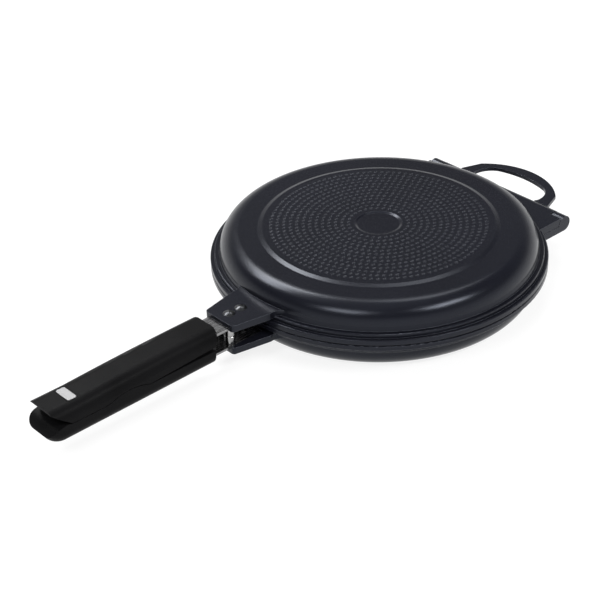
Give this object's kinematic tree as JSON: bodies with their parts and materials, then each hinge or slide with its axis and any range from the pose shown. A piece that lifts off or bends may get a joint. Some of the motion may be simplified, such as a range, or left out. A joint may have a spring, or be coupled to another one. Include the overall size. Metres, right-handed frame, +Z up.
{
  "type": "double sided flip pan",
  "caption": "Two round shallow pans hinged face to face, with split handles that close together and a hanging loop behind the hinge.",
  "frame": {"origin": "centre of the lower pan's flat base, on the table", "axes": "+X from the handles towards the hinge and loop, +Y across, +Z up through the upper pan"},
  "size_m": [0.5717, 0.3, 0.062],
  "materials": {
    "casting": "satin charcoal coating on cast aluminium",
    "rivet": "satin steel, bare",
    "steel": "brushed stainless steel",
    "magnet": "bright plated",
    "seal": "matte silicone",
    "grip": "fine matte texture",
    "badge": "satin, bare"
  },
  "bodies": {
    "lower_half": {"lower_pan": "casting", "rim_seal": "seal", "hinge_rod": "steel", "hinge_rod_plug": "steel", "hinge_washers": "steel", "lower_tang": "steel", "lower_rivets": "rivet", "lower_rivet_washers": "steel", "lower_magnets": "magnet", "lower_grip": "grip", "lower_grip_liner": "grip", "lower_liner_screws": "steel"},
    "upper_half": {"upper_pan": "casting", "upper_tang": "steel", "upper_rivets": "rivet", "upper_rivet_washers": "steel", "upper_magnets": "magnet", "upper_grip": "grip", "upper_grip_liner": "grip", "upper_liner_screws": "steel", "badge_plate": "badge"}
  },
  "joints": [
    {"name": "pan_hinge", "type": "hinge", "parent": "lower_half", "child": "upper_half", "pos_m": [0.1566, 0, 0.031], "axis": [0, 1, 0], "range_deg": [0, 100]}
  ]
}
